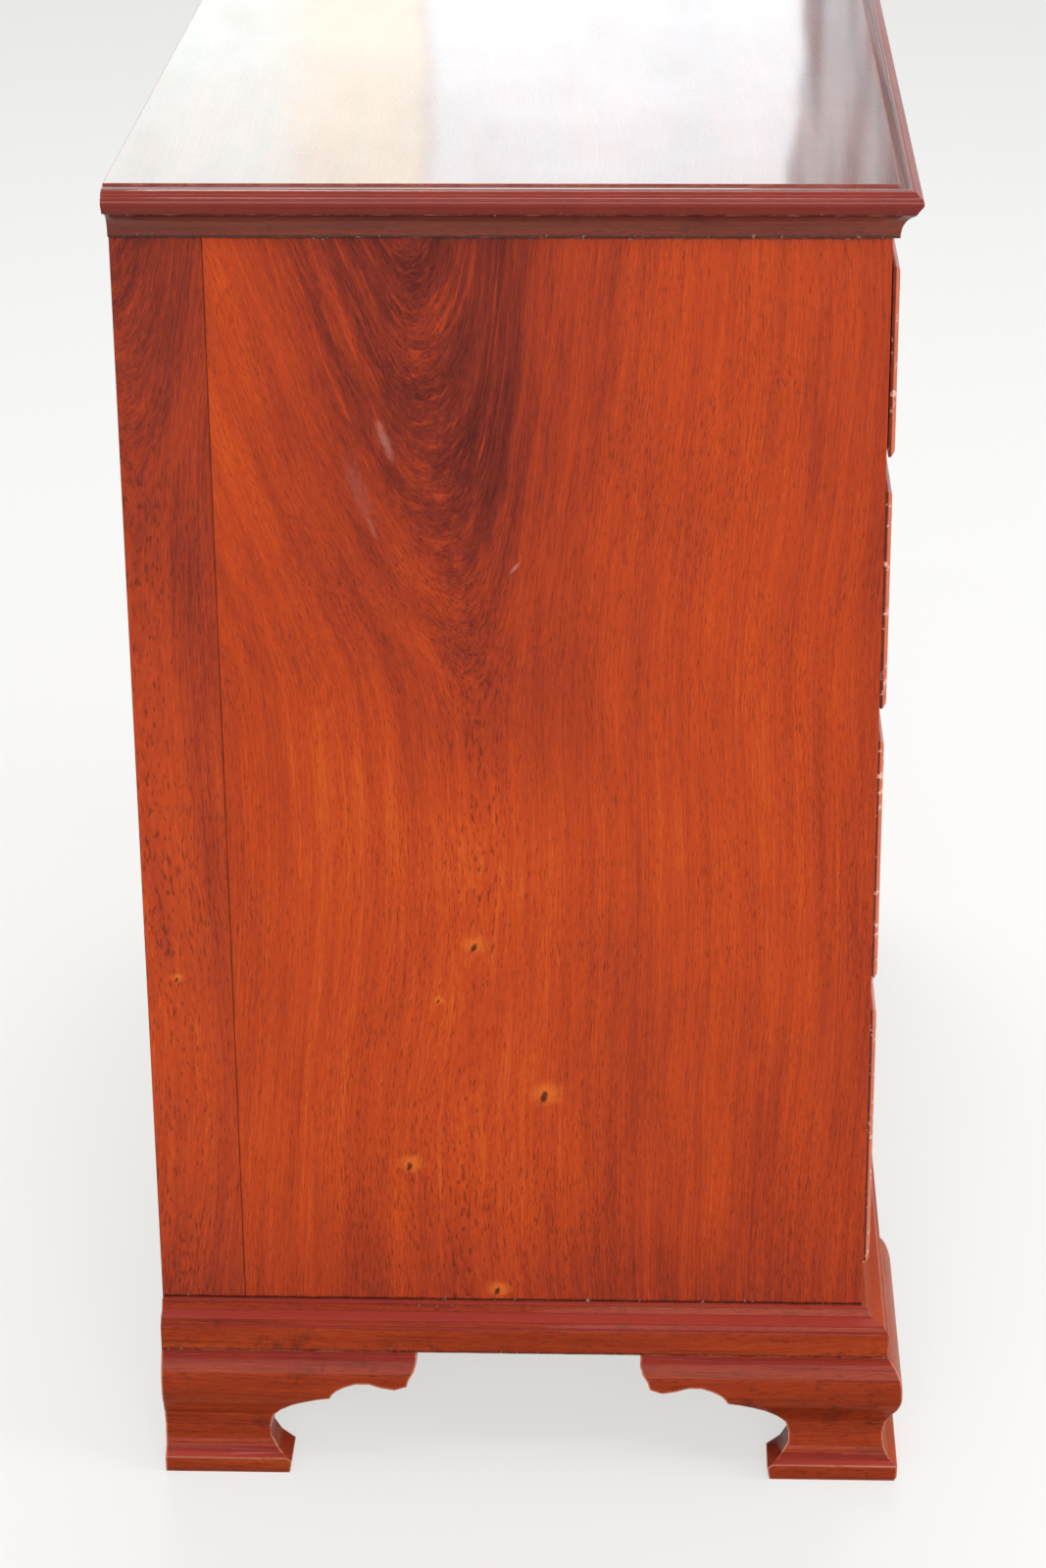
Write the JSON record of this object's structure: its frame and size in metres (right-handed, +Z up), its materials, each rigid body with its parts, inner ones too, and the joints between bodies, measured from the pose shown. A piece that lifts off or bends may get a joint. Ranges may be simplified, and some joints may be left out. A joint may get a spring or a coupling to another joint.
{
  "type": "chest of drawers",
  "caption": "Mahogany chest of graduated drawers with a blocked, hollow-centred front, moulded top and base, ogee bracket feet and swinging brass bail pulls.",
  "frame": {"origin": "on the floor, at the centre of the whole chest's footprint", "axes": "+Z up, -Y out of the drawer fronts, +X to the right of someone facing away from them; the front faces -Y"},
  "size_m": [0.9102, 0.4586, 0.8175],
  "materials": {
    "mahogany": "glossy varnish",
    "pine": "bare, aged",
    "poplar": "bare, aged",
    "brass": "polished, worn",
    "iron": "dark, smooth"
  },
  "bodies": {
    "case": {"back_boards": "pine", "base_moulding": "mahogany", "blade_1": "mahogany", "blade_2": "mahogany", "blade_3": "mahogany", "bottom_board": "pine", "bottom_rail": "mahogany", "cove_moulding": "mahogany", "drawer_runners": "pine", "foot_front_left": "mahogany", "foot_front_right": "mahogany", "foot_glue_blocks": "pine", "foot_rear_left": "mahogany", "foot_rear_right": "mahogany", "side_left_board": "mahogany", "side_left_rear_board": "mahogany", "side_right_board": "mahogany", "side_right_rear_board": "mahogany", "top_board": "mahogany", "top_rail": "mahogany"},
    "drawer_1": {"drawer_1_front": "mahogany", "drawer_1_sides": "poplar", "drawer_1_back": "pine", "drawer_1_bottom": "pine", "drawer_1_plates": "brass", "drawer_1_posts": "brass", "drawer_1_lock": "brass"},
    "drawer_1_bail_right": {"drawer_1_bail_right": "brass"},
    "drawer_1_bail_left": {"drawer_1_bail_left": "brass"},
    "drawer_1_bolt": {"drawer_1_bolt": "iron"},
    "drawer_2": {"drawer_2_front": "mahogany", "drawer_2_sides": "poplar", "drawer_2_back": "pine", "drawer_2_bottom": "pine", "drawer_2_plates": "brass", "drawer_2_posts": "brass", "drawer_2_lock": "brass"},
    "drawer_2_bail_right": {"drawer_2_bail_right": "brass"},
    "drawer_2_bail_left": {"drawer_2_bail_left": "brass"},
    "drawer_2_bolt": {"drawer_2_bolt": "iron"},
    "drawer_3": {"drawer_3_front": "mahogany", "drawer_3_sides": "poplar", "drawer_3_back": "pine", "drawer_3_bottom": "pine", "drawer_3_plates": "brass", "drawer_3_posts": "brass", "drawer_3_lock": "brass"},
    "drawer_3_bail_right": {"drawer_3_bail_right": "brass"},
    "drawer_3_bail_left": {"drawer_3_bail_left": "brass"},
    "drawer_3_bolt": {"drawer_3_bolt": "iron"},
    "drawer_4": {"drawer_4_front": "mahogany", "drawer_4_sides": "poplar", "drawer_4_back": "pine", "drawer_4_bottom": "pine", "drawer_4_plates": "brass", "drawer_4_posts": "brass", "drawer_4_lock": "brass"},
    "drawer_4_bail_right": {"drawer_4_bail_right": "brass"},
    "drawer_4_bail_left": {"drawer_4_bail_left": "brass"},
    "drawer_4_bolt": {"drawer_4_bolt": "iron"}
  },
  "joints": [
    {"name": "drawer_1_slide", "type": "slide", "parent": "case", "child": "drawer_1", "axis": [0, -1, 0], "range_m": [0, 0.3]},
    {"name": "drawer_1_bail_right_hinge", "type": "hinge", "parent": "drawer_1", "child": "drawer_1_bail_right", "pos_m": [0.235, -0.21545, 0.712], "axis": [-1, 0, 0], "range_deg": [-3, 170]},
    {"name": "drawer_1_bail_left_hinge", "type": "hinge", "parent": "drawer_1", "child": "drawer_1_bail_left", "pos_m": [-0.235, -0.21545, 0.712], "axis": [-1, 0, 0], "range_deg": [-3, 170]},
    {"name": "drawer_1_bolt_slide", "type": "slide", "parent": "drawer_1", "child": "drawer_1_bolt", "axis": [0, 0, 1], "range_m": [0, 0.007]},
    {"name": "drawer_2_slide", "type": "slide", "parent": "case", "child": "drawer_2", "axis": [0, -1, 0], "range_m": [0, 0.3]},
    {"name": "drawer_2_bail_right_hinge", "type": "hinge", "parent": "drawer_2", "child": "drawer_2_bail_right", "pos_m": [0.235, -0.21475, 0.57], "axis": [-1, 0, 0], "range_deg": [-3, 170]},
    {"name": "drawer_2_bail_left_hinge", "type": "hinge", "parent": "drawer_2", "child": "drawer_2_bail_left", "pos_m": [-0.235, -0.21475, 0.57], "axis": [-1, 0, 0], "range_deg": [-3, 170]},
    {"name": "drawer_2_bolt_slide", "type": "slide", "parent": "drawer_2", "child": "drawer_2_bolt", "axis": [0, 0, 1], "range_m": [0, 0.007]},
    {"name": "drawer_3_slide", "type": "slide", "parent": "case", "child": "drawer_3", "axis": [0, -1, 0], "range_m": [0, 0.3]},
    {"name": "drawer_3_bail_right_hinge", "type": "hinge", "parent": "drawer_3", "child": "drawer_3_bail_right", "pos_m": [0.235, -0.21425, 0.4065], "axis": [-1, 0, 0], "range_deg": [-3, 170]},
    {"name": "drawer_3_bail_left_hinge", "type": "hinge", "parent": "drawer_3", "child": "drawer_3_bail_left", "pos_m": [-0.235, -0.21425, 0.4065], "axis": [-1, 0, 0], "range_deg": [-3, 170]},
    {"name": "drawer_3_bolt_slide", "type": "slide", "parent": "drawer_3", "child": "drawer_3_bolt", "axis": [0, 0, 1], "range_m": [0, 0.007]},
    {"name": "drawer_4_slide", "type": "slide", "parent": "case", "child": "drawer_4", "axis": [0, -1, 0], "range_m": [0, 0.3]},
    {"name": "drawer_4_bail_right_hinge", "type": "hinge", "parent": "drawer_4", "child": "drawer_4_bail_right", "pos_m": [0.235, -0.21445, 0.2225], "axis": [-1, 0, 0], "range_deg": [-3, 170]},
    {"name": "drawer_4_bail_left_hinge", "type": "hinge", "parent": "drawer_4", "child": "drawer_4_bail_left", "pos_m": [-0.235, -0.21445, 0.2225], "axis": [-1, 0, 0], "range_deg": [-3, 170]},
    {"name": "drawer_4_bolt_slide", "type": "slide", "parent": "drawer_4", "child": "drawer_4_bolt", "axis": [0, 0, 1], "range_m": [0, 0.007]}
  ]
}
